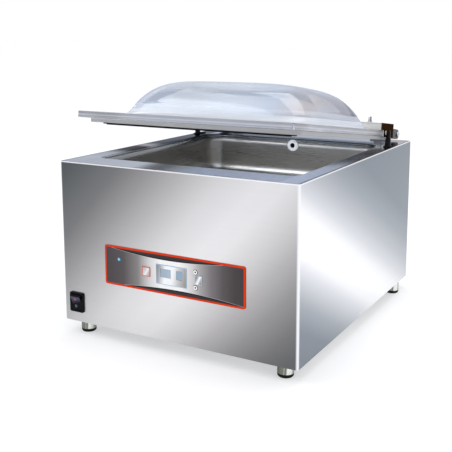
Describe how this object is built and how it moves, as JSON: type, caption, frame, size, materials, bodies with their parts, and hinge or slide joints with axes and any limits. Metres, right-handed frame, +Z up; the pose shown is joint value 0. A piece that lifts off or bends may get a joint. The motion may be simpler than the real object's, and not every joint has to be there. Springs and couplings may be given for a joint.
{
  "type": "chamber vacuum packing machine",
  "caption": "Tabletop chamber vacuum packer: steel cabinet with sunken chamber, clear domed lid ajar on a rear hinge, seal bar, control panel and rocker switch.",
  "frame": {"origin": "on the surface the feet stand on, at the middle of the machine's bounding box", "axes": "+X to the operator's right, +Y from the front panel to the back, +Z up"},
  "size_m": [0.489, 0.599, 0.4737],
  "materials": {
    "brushed_steel": "vertical satin brushing, mirror-bright stretches",
    "polished_steel": "fine polish on the deck and drawn tub",
    "bar_alloy": "bright machined profile",
    "alloy": "satin anodised",
    "chrome": "bright plated",
    "gas_spring_black": "gloss black enamel",
    "black_plastic": "fine moulded texture",
    "rubber": "matt black rubber and silicone",
    "clear_acrylic": "clear, faint cool tint, thermoformed",
    "panel_film": "printed charcoal to silver film with an orange border",
    "display_silver": "satin silver with a pale blue outline",
    "display_lens": "smooth pale blue-grey",
    "key_silver": "silvered key cap",
    "circuit_board": "green solder mask",
    "white_plastic": "white acetal",
    "shaft_grey": "light grey sleeve over a steel shaft",
    "pump_casting": "ribbed casting",
    "motor_grey": "grey enamel",
    "laminations": "varnished laminated core",
    "seal_tape": "brown coated glass cloth"
  },
  "bodies": {
    "cabinet": {"cabinet_shell": "brushed_steel", "rear_panel": "brushed_steel", "base_plate": "brushed_steel", "deck_plate": "polished_steel", "chamber_tub": "polished_steel", "foot_sleeve_front_left": "brushed_steel", "foot_sleeve_front_right": "brushed_steel", "foot_sleeve_rear_left": "brushed_steel", "foot_sleeve_rear_right": "brushed_steel", "foot_pad_front_left": "rubber", "foot_pad_front_right": "rubber", "foot_pad_rear_left": "rubber", "foot_pad_rear_right": "rubber", "panel_overlay": "panel_film", "display_frame": "display_silver", "display_window_left": "display_lens", "display_window_right": "display_lens", "control_board": "circuit_board", "switch_housing": "black_plastic", "nozzle_ring": "white_plastic", "suction_hose": "rubber", "vacuum_pump": "pump_casting", "pump_motor": "motor_grey", "transformer": "laminations", "solenoid_valve": "motor_grey", "mains_inlet": "black_plastic", "exhaust_outlet": "black_plastic", "hinge_shaft": "shaft_grey", "hinge_bracket_left": "brushed_steel", "hinge_bracket_right": "brushed_steel", "strut_grommet_left": "rubber", "strut_grommet_right": "rubber", "strut_anchor_left": "alloy", "strut_anchor_right": "alloy", "seal_lift_left": "alloy", "seal_lift_right": "alloy"},
    "lid": {"lid_dome": "clear_acrylic", "lid_gasket": "rubber", "counter_bar": "alloy", "counter_bar_pad": "rubber", "hinge_bar": "bar_alloy", "hinge_arm_left": "black_plastic", "hinge_arm_right": "black_plastic", "cap_nut_left": "chrome", "cap_nut_right": "chrome", "ball_stud_left": "chrome", "ball_stud_right": "chrome"},
    "gas_cylinder_left": {"gas_cylinder_left": "gas_spring_black"},
    "gas_cylinder_right": {"gas_cylinder_right": "gas_spring_black"},
    "gas_rod_left": {"gas_rod_left": "chrome"},
    "gas_rod_right": {"gas_rod_right": "chrome"},
    "seal_bar": {"seal_bar": "alloy", "seal_element": "seal_tape"},
    "rocker": {"switch_rocker": "black_plastic"},
    "start_key": {"start_key": "key_silver"},
    "enter_key": {"enter_key": "key_silver"},
    "up_key": {"up_key": "key_silver"},
    "down_key": {"down_key": "key_silver"}
  },
  "joints": [
    {"name": "lid_hinge", "type": "hinge", "parent": "cabinet", "child": "lid", "pos_m": [0, 0.2775, 0.346], "axis": [-1, 0, 0], "range_deg": [-7.64, 37]},
    {"name": "gas_cylinder_left_hinge", "type": "hinge", "parent": "lid", "child": "gas_cylinder_left", "pos_m": [-0.2313, 0.17649, 0.36096], "axis": [-1, 0, 0], "range_deg": [-33.5, 7.2]},
    {"name": "gas_cylinder_right_hinge", "type": "hinge", "parent": "lid", "child": "gas_cylinder_right", "pos_m": [0.2313, 0.17649, 0.36096], "axis": [-1, 0, 0], "range_deg": [-33.5, 7.2]},
    {"name": "gas_rod_left_slide", "type": "slide", "parent": "gas_cylinder_left", "child": "gas_rod_left", "axis": [0, -0.0745, -0.9972], "range_m": [-0.0129, 0.0618]},
    {"name": "gas_rod_right_slide", "type": "slide", "parent": "gas_cylinder_right", "child": "gas_rod_right", "axis": [0, -0.0745, -0.9972], "range_m": [-0.0129, 0.0618]},
    {"name": "seal_bar_lift", "type": "slide", "parent": "cabinet", "child": "seal_bar", "axis": [0, 0, 1], "range_m": [0, 0.009], "stiffness_N_per_m": 600},
    {"name": "rocker_tilt", "type": "hinge", "parent": "cabinet", "child": "rocker", "pos_m": [-0.2105, -0.2893, 0.064], "axis": [1, 0, 0], "range_deg": [-20, 0]},
    {"name": "start_key_press", "type": "slide", "parent": "cabinet", "child": "start_key", "axis": [0, 1, 0], "range_m": [0, 0.0006], "stiffness_N_per_m": 3000},
    {"name": "enter_key_press", "type": "slide", "parent": "cabinet", "child": "enter_key", "axis": [0, 1, 0], "range_m": [0, 0.0006], "stiffness_N_per_m": 3000},
    {"name": "up_key_press", "type": "slide", "parent": "cabinet", "child": "up_key", "axis": [0, 1, 0], "range_m": [0, 0.0006], "stiffness_N_per_m": 3000},
    {"name": "down_key_press", "type": "slide", "parent": "cabinet", "child": "down_key", "axis": [0, 1, 0], "range_m": [0, 0.0006], "stiffness_N_per_m": 3000}
  ],
  "couplings": [
    {"joint": "gas_cylinder_left_hinge", "follows": "lid_hinge", "ratio": -0.89},
    {"joint": "gas_cylinder_right_hinge", "follows": "lid_hinge", "ratio": -0.89},
    {"joint": "gas_rod_left_slide", "follows": "lid_hinge", "m_per_rad": 0.0951},
    {"joint": "gas_rod_right_slide", "follows": "lid_hinge", "m_per_rad": 0.0951}
  ]
}
